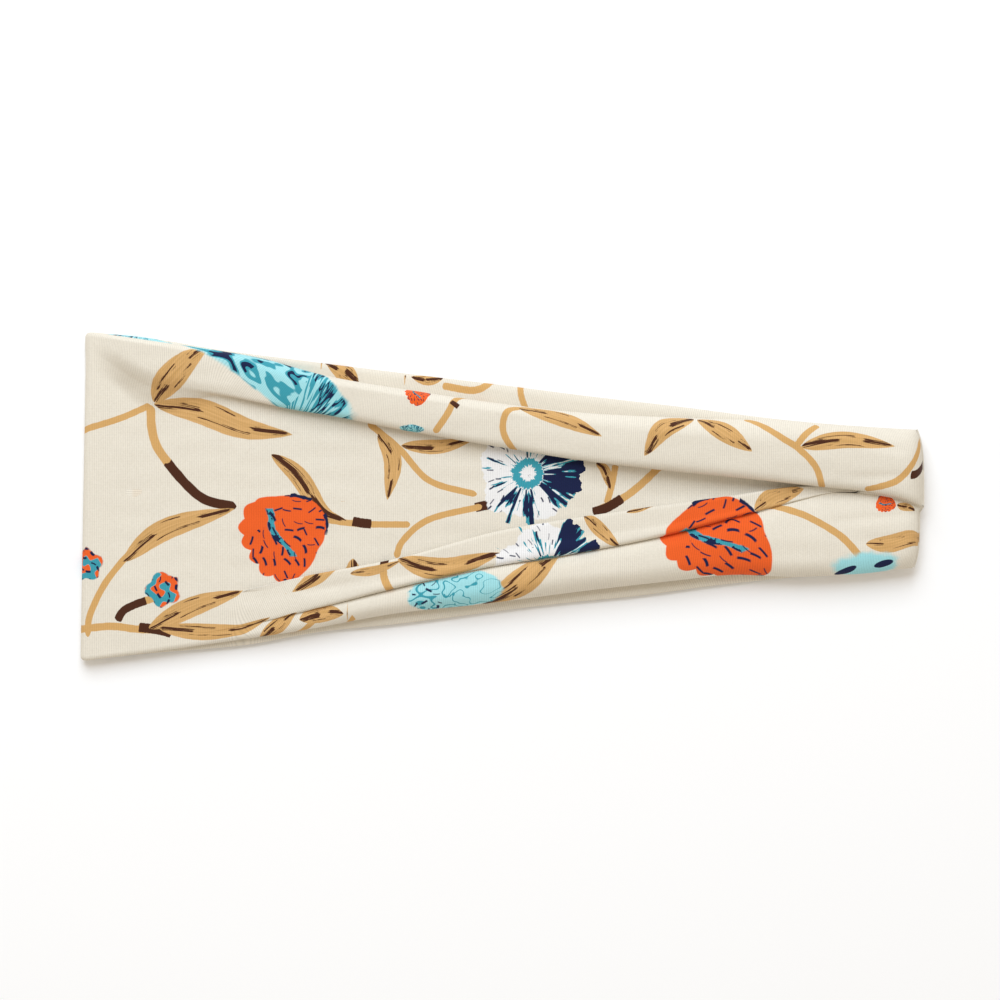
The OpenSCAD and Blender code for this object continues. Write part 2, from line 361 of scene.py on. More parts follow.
# ---------------------------------------------------------------- cloth as grids

UPPER_STEP, LOWER_STEP = 1.0, 1.5
FOLD_TURNS = 14
NAPE_STEPS = 10


def stations(step):
    """Places along the band, in millimetres: even up to the nape's turn, the middle among them,
    then closer and closer on its quarter circle."""
    crown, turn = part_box("upper_centre_ply")[0][0] / MM, LENGTH / 2 - NAPE_TURN
    left = np.linspace(crown, 0, round(-crown / step) + 1)
    right = np.linspace(0, turn, round(turn / step) + 1)[1:]
    angle = np.linspace(0, math.pi / 2, NAPE_STEPS + 1)[1:]
    return np.concatenate([left, right, turn + NAPE_TURN * np.sin(angle)])


def cloth_places(grid, along):
    """Place of each vertex on the cloth, in millimetres, along the band and across it. Across is
    measured along the section from the middle of the valley.

    Along is found from the surface's own metric: a step across moves along the cloth by what the
    dot product of the two tangents leaves over from the change of across, so that a wale that
    goes under a slanted fold comes out shifted square to the fold, as folded cloth does."""
    steps = np.diff(grid, axis=1)
    run = np.cumsum(np.linalg.norm(steps, axis=2), axis=1)
    run = np.concatenate([np.zeros((len(grid), 1)), run], axis=1)
    across = run[:, VALLEY:VALLEY + 1] - run + grid[:, VALLEY:VALLEY + 1, 1]
    spacing = np.gradient(np.asarray(along, float))[:, None]
    tangent = np.gradient(grid, axis=0) / spacing[..., None]
    drift = np.gradient(across, axis=0) / spacing
    shear = (0.5 * (tangent[:, 1:] + tangent[:, :-1]) * steps).sum(axis=2)
    shear -= 0.5 * (drift[:, 1:] + drift[:, :-1]) * np.diff(across, axis=1)
    skew = np.concatenate([np.zeros((len(grid), 1)), np.cumsum(shear, axis=1)], axis=1)
    skew = (skew - skew[:, VALLEY:VALLEY + 1]) * (1 - rise(45, 80, grid[..., 0]))
    for _ in range(5):
        skew[1:-1] = 0.25 * skew[:-2] + 0.5 * skew[1:-1] + 0.25 * skew[2:]
    return np.stack([np.asarray(along)[:, None] + skew, across], axis=-1)


def normals_of(grid):
    """Unit normal at each vertex, from the differences along and across."""
    along, across = np.gradient(grid, axis=0), np.gradient(grid, axis=1)
    normal = np.cross(along, across)
    return normal / np.maximum(np.linalg.norm(normal, axis=2, keepdims=True), 1e-9)


class Sheet:
    """A grid of cloth: vertices, normals and places on the cloth, each (stations, samples, n)."""

    def __init__(self, points, along):
        self.points = points
        self.normals = normals_of(points)
        self.place = cloth_places(points, along)

    def part(self, first, last):
        cut = object.__new__(Sheet)
        cut.points, cut.normals = self.points[first:last], self.normals[first:last]
        cut.place = self.place[first:last]
        cut.channels = {n: v[first:last] for n, v in self.channels.items()}
        return cut


VALLEY = (INNER + SAMPLES["edge"] + SAMPLES["roll"] + SAMPLES["fold"] - 1
          + SAMPLES["valley"] // 2)
CREASE = VALLEY + SAMPLES["valley"] // 2 + SAMPLES["fold"] - 1 + SAMPLES["middle"]


def weave_sheets(cloth):
    """The lower half with the crown fold, and the upper half, which starts where the fold ends."""
    x = stations(UPPER_STEP)
    y, z, _ = section(x, cloth)
    x = np.broadcast_to(x[:, None], y.shape)
    upper = np.stack(ruffle(*settle(x, y, z, cloth), 3), axis=-1)
    x = stations(LOWER_STEP)
    y, z, _ = lower_section(x, cloth)
    x = np.broadcast_to(x[:, None], y.shape)
    lower = np.stack(settle(x, y, z, cloth), axis=-1)
    turn = crown_fold(lower[0], upper[0], FOLD_TURNS)
    girth = math.pi * cloth.crown_level / 2
    crown = upper[0, VALLEY, 0]
    fold_along = crown - girth * np.linspace(1, 0, FOLD_TURNS + 2)
    whole = np.concatenate([lower[::-1], turn, upper[:1]])
    along = np.concatenate([-lower[::-1, VALLEY, 0] + 2 * crown - girth, fold_along[1:]])
    return Sheet(whole, along), Sheet(upper, upper[:, VALLEY, 0])


# Soft creases pressed into the top of the cloth: two ends (x, y), half width and depth, in mm
CREASES = [((119, -5), (88, -7.5), 1.1, 0.45), ((119, -11), (98, -13), 1.4, 0.35),
           ((118, 6), (94, 5.2), 1.2, 0.4), ((117, 13), (101, 14.5), 1.5, 0.3),
           ((-117, -24), (-84, -27.5), 1.6, 0.3), ((-116, 12), (-92, 9), 2.4, 0.35),
           ((-112, -36), (-82, -37.5), 1.2, 0.35), ((-66, 22), (-30, 12.5), 2.2, 0.3),
           ((40, -13), (68, -9), 1.0, 0.35), ((-60, -28), (-26, -21), 1.2, 0.3)]


def creases(x, y):
    """Depth of the soft creases: each is a Gaussian trough along a line, fading at its ends."""
    depth = 0
    for (x0, y0), (x1, y1), half, deep in CREASES:
        length = math.hypot(x1 - x0, y1 - y0)
        along = ((x - x0) * (x1 - x0) + (y - y0) * (y1 - y0)) / length**2
        aside = ((x - x0) * (y1 - y0) - (y - y0) * (x1 - x0)) / length
        depth = depth + (deep * np.exp(-(aside / half)**2) * rise(0, 0.25, along)
                         * (1 - rise(0.6, 1, along)))
    return depth


def ruffle(x, y, z, seed):
    """Slow unevenness in height, as hand-smoothed cloth has, which fades at both ends."""
    z = z - creases(x, y) * rise(5.6, 6.6, z)
    hold = rise(-117, -104, x) * (1 - rise(100, 116, x)) * rise(4.2, 5.2, z)
    z = z + hold * (0.28 * unevenness(x, y, seed, 9) + 0.12 * unevenness(x, 2 * y, seed + 1, 3.4))
    return x, y, z


def shell(name, sheet, ply, outward=1):
    """A closed shell: the sheet, a copy of it one ply further in, and a strip round the rim."""
    rows, columns = sheet.points.shape[:2]
    count = rows * columns
    outer = sheet.points.reshape(-1, 3)
    inner = outer - ply * outward * sheet.normals.reshape(-1, 3)
    i, j = np.meshgrid(np.arange(rows - 1), np.arange(columns - 1), indexing="ij")
    a = (i * columns + j).ravel()
    quads = np.stack([a, a + columns, a + columns + 1, a + 1], axis=1)
    rim = np.concatenate([np.arange(columns - 1),
                          np.arange(1, rows) * columns - 1,
                          count - 1 - np.arange(columns - 1),
                          np.arange(rows - 1, 0, -1) * columns])
    following = np.roll(rim, -1)
    side = np.stack([rim, following, following + count, rim + count], axis=1)
    if outward < 0:
        quads, side = quads[:, ::-1], side[:, ::-1]
    faces = np.concatenate([quads, quads[:, ::-1] + count, side])
    mesh = bpy.data.meshes.new(name)
    mesh.from_pydata((np.concatenate([outer, inner]) * MM).tolist(), [], faces.tolist())
    normals = outward * sheet.normals.reshape(-1, 3)
    corner_normals = np.concatenate([normals, -normals])[faces]
    corners = np.concatenate([outer, inner])[side]
    across_rim = np.cross(corners[:, 2] - corners[:, 0], corners[:, 3] - corners[:, 1])
    across_rim /= np.linalg.norm(across_rim, axis=1, keepdims=True) + 1e-12
    corner_normals[-len(side):] = across_rim[:, None]
    mesh.normals_split_custom_set(corner_normals.reshape(-1, 3).tolist())
    place = np.tile(sheet.place.reshape(-1, 2), (2, 1))
    side_of_cloth = np.repeat([1.0, 0.0], count)
    set_attribute(mesh, "cloth", np.column_stack([place, side_of_cloth]))
    for channel, values in sheet.channels.items():
        set_attribute(mesh, channel, np.tile(values.reshape(-1, 3), (2, 1)))
    return add_object(name, mesh)


def add_object(name, data):
    piece = bpy.data.objects.new(name, data)
    bpy.context.scene.collection.objects.link(piece)
    return piece


def distance_along(points):
    """Distance of each of a row of points from the first, along the row."""
    return np.concatenate([[0], np.cumsum(np.linalg.norm(np.diff(points, axis=0), axis=1))])


def set_attribute(mesh, name, vectors):
    layer = mesh.attributes.new(name, "FLOAT_VECTOR", "POINT")
    layer.data.foreach_set("vector", np.ascontiguousarray(vectors, dtype=np.float32).ravel())


# ---------------------------------------------------------------- where the print lies

class Leaf:
    """A leaf from its base to its tip, half_width wide at its fullest; brush is its share of
    dark strokes."""
    channel, count, run = "leaf", 4, None

    def __init__(self, spine, half_width, brush=0.3):
        self.spine, self.reach, self.mark = spine, half_width, brush


class Stem:
    """A stem from end to end; bark is the share of it, from its start, that is brown."""
    channel, count, run = "stem", 3, None

    def __init__(self, spine, bark=0.0, half_width=0.95):
        self.spine, self.reach, self.mark = spine, half_width, bark


class Bloom:
    """A bloom about a middle, of a kind, a radius and a turn in degrees."""
    channel, count, run = "bloom", 2, None

    def __init__(self, middle, radius, kind, turn=0):
        self.spine, self.reach, self.mark, self.turn = [middle], radius, kind, turn


def kept_to(run, motif):
    """The motif stops at the crease between the middle and the low roll: run names its side."""
    motif.run = run
    return motif


ORANGE, BLUE, PALE, SPRAY, BUD, OVALS = range(6)

# Seen from above, in millimetres
MOTIFS = [
    Bloom((-62.5, -11), 15, ORANGE, 0),
    Bloom((7.5, 6.5), 15.5, BLUE, 0),
    kept_to("middle", Bloom((12.5, -18.6), 15.5, BLUE, 20)),
    Bloom((60.3, -11), 16.8, ORANGE, 45),
    Bloom((-59, 31.6), 31, SPRAY, -10),
    Bloom((-99, 50), 19, SPRAY, -5),
    kept_to("low", Bloom((-13, -27), 15, PALE, 6)),
    Bloom((-118.5, -19.5), 6.5, BUD, 70),
    Bloom((-96.5, -26.5), 6.8, BUD, 20),
    Bloom((104, -20), 13, OVALS, 4),
    Bloom((109.2, -2.0), 3.4, ORANGE, 60),
    Bloom((-24, 29.5), 4.6, ORANGE, 0),
    Bloom((-25.5, 19), 4.2, SPRAY, 0),

    Leaf([(-99, 26.8), (-92.5, 35), (-83.5, 42.3)], 3.7, 0.25),
    Leaf([(-99, 26.3), (-86, 24.4), (-73, 19.4), (-59.5, 17.6)], 3.6, 0.3),
    Leaf([(-65.5, 12), (-58, 6), (-51, -4), (-44, -7)], 2.6, 0.9),
    Leaf([(-108, -18.5), (-96, -9.5), (-76, -3.5)], 3.0, 0.3),
    Leaf([(-100.5, -37.5), (-87.5, -31.2), (-73.5, -26.5)], 2.8, 0.3),
    Leaf([(-97.5, -37.6), (-84, -38.6), (-69.5, -37.6)], 2.3, 0.35),
    Leaf([(-42, -8.5), (-43, -15), (-52, -22), (-61, -24)], 3.4, 0.55),
    Leaf([(-35, 18), (-31, 10.5), (-32.5, -1)], 2.5, 0.3),
    Leaf([(-28.5, 14.5), (-17.5, 14.2), (-7.5, 16.5)], 2.0, 0.6),
    Leaf([(27, 9.5), (29.5, 7.5), (31, 2)], 1.4, 0.9),
    Leaf([(-29.5, -17.8), (-15, -20.5), (0, -16)], 3.2, 0.4),
    Leaf([(-43, -22), (-36, -21), (-28.5, -18.2)], 1.3, 0.2),
    Leaf([(23.5, -5), (28, -9.5), (34, -15)], 2.0, 0.3),
    Leaf([(35.5, -4.5), (39.5, -3.5), (44, -2)], 0.8, 0.9),
    Leaf([(72, -4), (78, 0), (86, 4.2)], 2.6, 0.05),
    Leaf([(-69.5, -38.2), (-63, -35.8), (-58.5, -33)], 2.3, 0.5),
    Leaf([(-58, -31.8), (-51.5, -33), (-43.5, -36.2)], 2.9, 0.6),
    kept_to("low", Leaf([(-4, -32), (4.5, -25.5), (18, -16)], 3.8, 0.45)),
    Leaf([(103.5, -13.5), (112, -13), (123, -10)], 2.5, 0.05),
    Leaf([(112.4, -2.3), (115, -3), (118, -4)], 1.2, 0.8),
    Leaf([(5, 25.5), (15, 23), (28.5, 17)], 2.4, 0.3),
    Leaf([(54.6, 22.4), (46, 19.5), (40.5, 11.4)], 3.0, 0.5),
    Leaf([(55.6, 22.2), (62.5, 18.8), (71, 12.7)], 2.8, 0.25),
    Leaf([(84.8, 14), (97.5, 16.2), (111.5, 14.2)], 2.5, 0.55),
    Leaf([(-53, 40.5), (-45.5, 37), (-36, 33)], 3.4, 0.6),
    Leaf([(-25.5, 33), (-21, 35), (-16, 35)], 1.6, 0.9),

    Stem([(-100, 26), (-109.5, 22), (-122, 18)]),
    Stem([(-75.5, -3), (-86, 0), (-96.5, 11.5), (-99.5, 18.5), (-100, 26)], 0.58, 1.3),
    Stem([(-77, -3.5), (-100, -12), (-111, -22), (-117, -33), (-118, -40)]),
    Stem([(-109.5, -35.5), (-107, -32), (-98, -28.5)], 0.75, 1.1),
    Stem([(-121, -38), (-111.5, -37), (-104, -37.8), (-95, -38.2)], 0.0, 1.1),
    Stem([(-94, -39), (-98, -38), (-103.5, -37.2)], 0.98, 1.3),
    Stem([(-51, -6.5), (-40.5, -7.8), (-26, -8)]),
    Stem([(-37, -7.8), (-39.5, -7.6), (-42.5, -7)], 0.98, 1.3),
    Stem([(-30, -17.5), (-28, -12.5), (-20.5, -6.5), (-5.5, -2.8)]),
    Stem([(-7.5, -3.2), (-5, -2.6), (-3.4, -2.4)], 0.99, 1.3),
    Stem([(-38, 21), (-29, 13.5), (-20.5, 4.5), (-7, 0.5)]),
    Stem([(32.5, 9), (31.5, 3.5), (30, -2)]),
    Stem([(45.5, 9), (39.5, 3.2), (34, -0.8), (26, -4.5)], 0.0, 1.1),
    Stem([(26, -4.5), (30, -3.2), (34.5, -0.5)], 0.99, 1.3),
    Stem([(-33, -17), (-33.5, -22.5), (-31, -28)], 0.3, 1.2),
    Stem([(75, -3.2), (87, -6), (96, -11), (103, -18.5)], 0.0, 1.1),
    Stem([(-2, 33), (-11.5, 28.5), (-15.5, 23), (-19, 18)]),
    Stem([(-12.7, 26.8), (-13.7, 25.6)], 0.99, 1.3),
    Stem([(9, 26.5), (2, 24.5), (0.5, 18.5), (4, 12.5)]),
    Stem([(69, 22.4), (78.8, 17), (84, 13.6), (89, 8.3), (91.2, 2)]),
    Stem([(83.2, 14), (86, 17.5), (89.8, 20.4)]),
    Stem([(103, 1.8), (111.5, 4.2), (116.1, 8.7), (120, 13.5)]),
    Stem([(115.8, 6), (118, 6.6), (122, 7.2)], 0.99, 1.1),
    Stem([(-13, 26), (-8, 31.5), (2, 32.5)], 0.0, 1.1),
    Stem([(4, 32.5), (6.5, 28.5), (7.5, 24)]),
    Stem([(-63, -40), (-57.5, -39), (-49, -36)]),
    Stem([(-47, -37.5), (-42, -34.5)], 0.0, 1.3),
]


def smooth_spine(points, count=28):
    """Cubic curve through given points, each an even step of its parameter from the last."""
    points = np.array(points, float)
    t = np.arange(len(points), dtype=float)
    fine = np.linspace(0, len(points) - 1, count)
    return np.column_stack([line(np.column_stack([t, points[:, k]]), fine) for k in (0, 1)])


class Ground:
    """The cloth seen from above: finds the place on the cloth that shows at (x, y)."""

    def __init__(self, *sheets):
        points, places, turns = [], [], []
        for sheet, outward in sheets:
            up = (outward * sheet.normals[..., 2] > 0.15) & (sheet.points[..., 2] > 1.5)
            points.append(sheet.points[up])
            places.append(sheet.place[up])
            inner = np.zeros(sheet.points.shape[:2], bool)
            inner[:, :INNER], inner[:, -INNER:] = True, True
            turns.append(np.where(inner[up], -1.0, 1.0))
        self.points, self.places = np.concatenate(points), np.concatenate(places)
        self.turns = np.concatenate(turns)

    def place(self, spot):
        gap = np.array(spot, float) - self.points[:, :2]
        far = np.hypot(gap[:, 0], gap[:, 1])
        near = far < max(0.9, far.min() + 0.3)
        best = np.flatnonzero(near)[np.argmax(self.points[near, 2])]
        return self.places[best] + self.turns[best] * gap[best], self.turns[best]

    def lay(self, spine):
        """Places of a whole spine, from its middle point outwards. Where the next point lies on
        another fold, the spine runs on straight under the lip."""
        spine = np.array(spine, float)
        middle = len(spine) // 2
        places = np.zeros_like(spine)
        places[middle], turn = self.place(spine[middle])
        for path in (range(middle + 1, len(spine)), range(middle - 1, -1, -1)):
            last, flip = middle, turn
            for k in path:
                step = spine[k] - spine[last]
                there, side = self.place(spine[k])
                if np.hypot(*(there - places[last] - flip * step)) > 1.5 + 0.12 * np.hypot(*step):
                    there, side = places[last] + flip * step, flip
                places[k], last, flip = there, k, side
        return places


def ribbon_place(points, spine):
    """For each point, its distance along the spine and to the left of it. The spine is a chain of
    straight pieces, and its two end pieces run on."""
    start, leg = spine[:-1], np.diff(spine, axis=0)
    size = np.hypot(*leg.T)
    rel = points[:, None] - start[None]
    t = np.einsum("nkc,kc->nk", rel, leg) / size**2
    low = np.where(np.arange(len(leg)) == 0, -np.inf, 0)
    high = np.where(np.arange(len(leg)) == len(leg) - 1, np.inf, 1)
    t = np.clip(t, low, high)
    gap = rel - t[..., None] * leg[None]
    nearest = np.argmin((gap**2).sum(axis=2), axis=1)
    row = np.arange(len(points))
    side = leg[nearest, 0] * rel[row, nearest, 1] - leg[nearest, 1] * rel[row, nearest, 0]
    before = np.concatenate([[0], np.cumsum(size)[:-1]])
    return (before[nearest] + t[row, nearest] * size[nearest],
            np.sign(side) * np.hypot(*gap[row, nearest].T), size.sum())


def motif_place(motif, spine, points):
    """The motif's own coordinates at each point, and how far, in millimetres, the point is
    outside the motif's box."""
    if isinstance(motif, Bloom):
        turn = math.radians(motif.turn)
        east, north = (points - spine[0]).T / motif.reach
        x = east * math.cos(turn) + north * math.sin(turn)
        y = north * math.cos(turn) - east * math.sin(turn)
        return x, y, (np.hypot(x, y) - 1) * motif.reach
    along, side, size = ribbon_place(points, smooth_spine(spine))
    outside = np.maximum(np.maximum(-along, along - size), np.abs(side) - 1.2 * motif.reach)
    return along / size, side / motif.reach, outside


def in_sight(sheets):
    """Which vertices have nothing above them, seen from above, by a raster of 1 mm squares."""
    every = np.concatenate([s.points.reshape(-1, 3) for s in sheets])
    i, j = (np.floor(every[:, :2]) - np.floor(every[:, :2].min(axis=0))).astype(int).T
    highest = np.full((i.max() + 1, j.max() + 1), -np.inf)
    np.maximum.at(highest, (i, j), every[:, 2])
    return every[:, 2] > highest[i, j] - 0.8


# Round a motif, how far no other may come in its channel and how far its values are kept; and how
# far along the cloth the print is shifted on the inner plies, all in millimetres
CLEAR, KEPT, SHIFT = 2.5, 1.5, 6


def lay_print(sheets, ground):
    """Writes the motifs' coordinates into channels, one vector a vertex: two coordinates and the
    motif's mark plus 1. Motifs in one channel keep clear of each other, so each takes the first
    channel that is free all round it. Every motif is also laid half the cloth's girth away, on
    the inner plies, and turned about on the half that isn't seen from above."""
    cells = np.concatenate([s.place.reshape(-1, 2) for s in sheets])
    column = np.concatenate([np.tile(np.arange(s.place.shape[1]), len(s.place)) for s in sheets])
    shows = in_sight(sheets)
    turned_about = np.array([2 * (sheets[1].place[0, VALLEY, 0] - SHIFT), 0])
    channels, taken = {}, {}
    seen = [(m, ground.lay(m.spine)) for m in MOTIFS]
    for inner, turned in ((False, False), (False, True), (True, False), (True, True)):
        copied = inner or turned
        for motif, spine in seen:
            if inner:
                spine = spine + [SHIFT, -math.copysign(CROWN_WIDTH, spine[0, 1])]
            if turned:
                spine = turned_about - spine
            if copied and isinstance(motif, Bloom):
                motif = Bloom(None, motif.reach, motif.mark, motif.turn + 180 * turned)
            middle = spine.mean(axis=0)
            size = np.abs(spine - middle).max() + 1.3 * motif.reach + CLEAR + 1
            near = np.abs(cells - middle).max(axis=1) < size
            if motif.run:
                near &= (column <= CREASE) == (motif.run == "middle")
            near = np.flatnonzero(near)
            if not len(near):
                continue
            a, b, outside = motif_place(motif, spine, cells[near])
            own = outside < CLEAR
            zone = near[own]
            if copied and shows[zone].any():
                continue
            values = np.column_stack([a, b, np.where(outside < KEPT, 1 + motif.mark, 0)])[own]
            for index in range(motif.count):
                name = f"{motif.channel}_{index + 1}"
                used = taken.setdefault(name, np.zeros(len(cells), bool))
                if not used[zone].any():
                    used[zone] = True
                    channels.setdefault(name, np.zeros((len(cells), 3)))[zone] = values
                    break
            else:
                if not copied:
                    raise RuntimeError(f"no free channel for the {motif.channel} at {spine[0]}")
    count = sheets[0].place[..., 0].size
    for sheet, cut in zip(sheets, (slice(count), slice(count, None))):
        sheet.channels = {n: v[cut].reshape(sheet.points.shape) for n, v in channels.items()}


# ---------------------------------------------------------------- materials

class Wire:
    """A number in a node tree. Arithmetic on wires adds Math nodes to the tree."""

    def __init__(self, tree, socket):
        self.tree, self.socket = tree, socket

    def math(self, operation, *others):
        node = self.tree.nodes.new("ShaderNodeMath")
        node.operation = operation
        for slot, value in zip(node.inputs, (self, *others)):
            plug(self.tree, slot, value)
        return Wire(self.tree, node.outputs[0])

    def __add__(self, other): return self.math("ADD", other)
    def __sub__(self, other): return self.math("SUBTRACT", other)
    def __mul__(self, other): return self.math("MULTIPLY", other)
    def __truediv__(self, other): return self.math("DIVIDE", other)
    def __rsub__(self, other): return self.math("MULTIPLY", -1) + other
    def __pow__(self, other): return self.math("POWER", other)
    __radd__, __rmul__ = __add__, __mul__

    def least(self, other): return self.math("MINIMUM", other)
    def most(self, other): return self.math("MAXIMUM", other)
    def size(self): return self.math("ABSOLUTE")
    def sine(self): return self.math("SINE")
    def root(self): return self.math("SQRT")
    def over(self, limit): return self.math("GREATER_THAN", limit)
    def under(self, limit): return self.math("LESS_THAN", limit)

    def ramp(self, low, high, soft=True):
        """0 up to low and 1 from high on, or the other way round where low is above high."""
        node = self.tree.nodes.new("ShaderNodeMapRange")
        node.interpolation_type = "SMOOTHSTEP" if soft else "LINEAR"
        plug(self.tree, node.inputs["Value"], self)
        rising = not isinstance(low, Wire) and low < high
        values = (low, high, 0, 1) if rising else (high, low, 1, 0)
        for name, value in zip(("From Min", "From Max", "To Min", "To Max"), values):
            plug(self.tree, node.inputs[name], value)
        return Wire(self.tree, node.outputs["Result"])


def plug(tree, slot, value):
    if isinstance(value, Wire):
        tree.links.new(value.socket, slot)
    elif hasattr(value, "is_output"):
        tree.links.new(value, slot)
    else:
        slot.default_value = value


def vector_of(tree, x, y, z=0.0):
    node = tree.nodes.new("ShaderNodeCombineXYZ")
    for slot, value in zip(node.inputs, (x, y, z)):
        plug(tree, slot, value)
    return node.outputs[0]


def parts_of(tree, vector):
    node = tree.nodes.new("ShaderNodeSeparateXYZ")
    tree.links.new(vector, node.inputs[0])
    return [Wire(tree, s) for s in node.outputs]


def noise_of(tree, vector, scale, detail=1.0):
    node = tree.nodes.new("ShaderNodeTexNoise")
    tree.links.new(vector, node.inputs["Vector"])
    node.inputs["Scale"].default_value = scale
    node.inputs["Detail"].default_value = detail
    return Wire(tree, node.outputs["Fac"])


def mixed(tree, share, under, over):
    """The colour under, covered by the colour over as far as share says."""
    node = tree.nodes.new("ShaderNodeMix")
    node.data_type = "RGBA"
    plug(tree, node.inputs["Factor"], share)
    for slot, colour in ((node.inputs["A"], under), (node.inputs["B"], over)):
        if hasattr(colour, "is_output"):
            tree.links.new(colour, slot)
        else:
            slot.default_value = (*colour[:3], 1)
    return node.outputs["Result"]


def new_group(name, inputs, outputs):
    """An empty node group with named sockets; returns the group, its inputs and a function that
    wires its outputs."""
    group = bpy.data.node_groups.new(name, "ShaderNodeTree")
    for socket, kind in inputs.items():
        group.interface.new_socket(socket, in_out="INPUT", socket_type=f"NodeSocket{kind}")
    for socket, kind in outputs.items():
        group.interface.new_socket(socket, in_out="OUTPUT", socket_type=f"NodeSocket{kind}")
    entry, leave = group.nodes.new("NodeGroupInput"), group.nodes.new("NodeGroupOutput")

    def give(**values):
        for slot, value in values.items():
            plug(group, leave.inputs[slot], value)

    return group, {n: entry.outputs[n] for n in inputs}, give


def placed(tree, group, **inputs):
    node = tree.nodes.new("ShaderNodeGroup")
    node.node_tree = group
    for name, value in inputs.items():
        plug(tree, node.inputs[name.replace("_", " ")], value)
    return node.outputs


PI = math.pi


def knit_group():
    """Single jersey: upright wales of V-shaped stitches, as a height and a shade, with the
    unevenness of spun yarn. The shade is partly painted shade between the wales and stitches,
    and partly the yarn's own uneven tone."""
    group, given, give = new_group("Knit", {"Cloth": "Vector", "Wale": "Float"},
                                   {"Height": "Float", "Shade": "Float"})
    along, across, _ = parts_of(group, given["Cloth"])
    wale = along / Wire(group, given["Wale"])
    leg = (wale * PI).sine().size()
    stitch = (across * (2 * PI / 0.46) + leg * 2.2).sine() * 0.5 + 0.5
    yarn = noise_of(group, given["Cloth"], 1.9, 2.0)
    slub = noise_of(group, given["Cloth"], 0.22, 2.0)
    height = leg * 0.75 + stitch * 0.3 + yarn * 0.5
    # painted shade: darker between the wales (leg) and between the stitches; yarn and slub are the
    # yarn's own tone
    shade = 0.82 + leg * 0.18 + stitch * 0.03 + (yarn - 0.5) * 0.14 + (slub - 0.5) * 0.05
    give(Height=height, Shade=shade)
    return group


def leaf_group():
    """A leaf between base and tip: its outline is a skewed sine arch. Brush strokes run in a
    bundle from its base, beside its margins and at its tip, and break up into bristle lines."""
    group, given, give = new_group("Leaf", {"Place": "Vector"},
                                   {"Fill": "Float", "Stroke": "Float", "Tint": "Float"})
    a, b, kind = parts_of(group, given["Place"])
    brush = kind - 1
    inside = kind.over(0.999) * a.over(0.0) * a.under(1.0)
    seed = brush * 37
    rough = noise_of(group, vector_of(group, a * 7, b * 1.2, seed), 2.4, 2.0) - 0.5
    bristle = noise_of(group, vector_of(group, a * 2.2, b * 7.5, seed + 3), 1.6, 2.0) - 0.5
    arch = (((a.most(0.0) ** 0.8) * PI).sine().most(0.0) ** 0.74) * 1.06
    edge = arch - b.size() + rough * 0.09
    fill = edge.ramp(-0.02, 0.07) * inside
    bend = (a * 5 + seed).sine() * 0.12

    def stroke_at(middle, half, first, last):
        """A stroke of given half width round b = middle, tapering off before first and after
        last."""
        ends = (a - first).least(last - a) * 5
        return half - (b - middle).size() + ends.least(0.0) + bristle * 0.85 + rough * 0.16

    base = stroke_at(bend, 0.12 + brush * 0.24, 0.03, 0.22 + brush * 0.3)
    upper = stroke_at(bend + arch * 0.52, 0.05, 0.2, 0.56)
    lower = stroke_at(bend - arch * 0.5, 0.04, 0.4 - brush * 0.25, 0.7)
    tip = stroke_at(bend * 0.3 + 0.06, 0.12 + brush * 0.26, 0.8 - brush * 0.22, 0.93)
    strokes = base.most(upper).most(lower).most(tip)
    stroke = strokes.ramp(0.0, 0.07) * edge.ramp(0.0, 0.08) * inside
    tint = noise_of(group, vector_of(group, a * 2, b * 5, seed), 1.4, 2.0)
    give(Fill=fill, Stroke=stroke, Tint=tint)
    return group


def stem_group():
    """A stem of even width with slightly rough sides; its first part may be bark."""
    group, given, give = new_group("Stem", {"Place": "Vector"}, {"Fill": "Float", "Bark": "Float"})
    a, b, kind = parts_of(group, given["Place"])
    rough = noise_of(group, vector_of(group, a * 8, b * 0.5, kind * 7), 2.0, 1.0) - 0.5
    ends = a.least(1 - a) - b * b * 0.03 + rough * 0.01
    inside = kind.over(0.999) * ends.over(0.0)
    width = 1.0 + rough * 0.25
    bark = (kind - 1 - a + rough * 0.04).over(0.0) * (width + 0.06 - b.size()).ramp(-0.05, 0.1)
    give(Fill=(width - b.size()).ramp(-0.08, 0.14) * inside, Bark=bark * inside)
    return group


def scattered_dashes(tree, x, y, scale, length, width, focus, stray):
    """Short strokes at random places in the cells of a Voronoi pattern. Each points away from the
    focus, give or take half of stray radians."""
    node = tree.nodes.new("ShaderNodeTexVoronoi")
    node.voronoi_dimensions = "2D"
    tree.links.new(vector_of(tree, x, y), node.inputs["Vector"])
    node.inputs["Scale"].default_value = scale
    node.inputs["Randomness"].default_value = 0.75
    px, py, _ = parts_of(tree, node.outputs["Position"])
    red, green, _ = parts_of(tree, node.outputs["Color"])
    angle = (py - focus[1]).math("ARCTAN2", px - focus[0]) + (red - 0.5) * stray
    dx, dy = x - px, y - py
    c, s = angle.math("COSINE"), angle.sine()
    along, side = dx * c + dy * s, dy * c - dx * s
    side = side + along * along * (green - 0.5) * 5
    taper = (0.5 + green) * width
    ends = (length - along.size()).ramp(0.0, length * 0.3)
    return ends * (taper - side.size()).ramp(-0.006, 0.012)


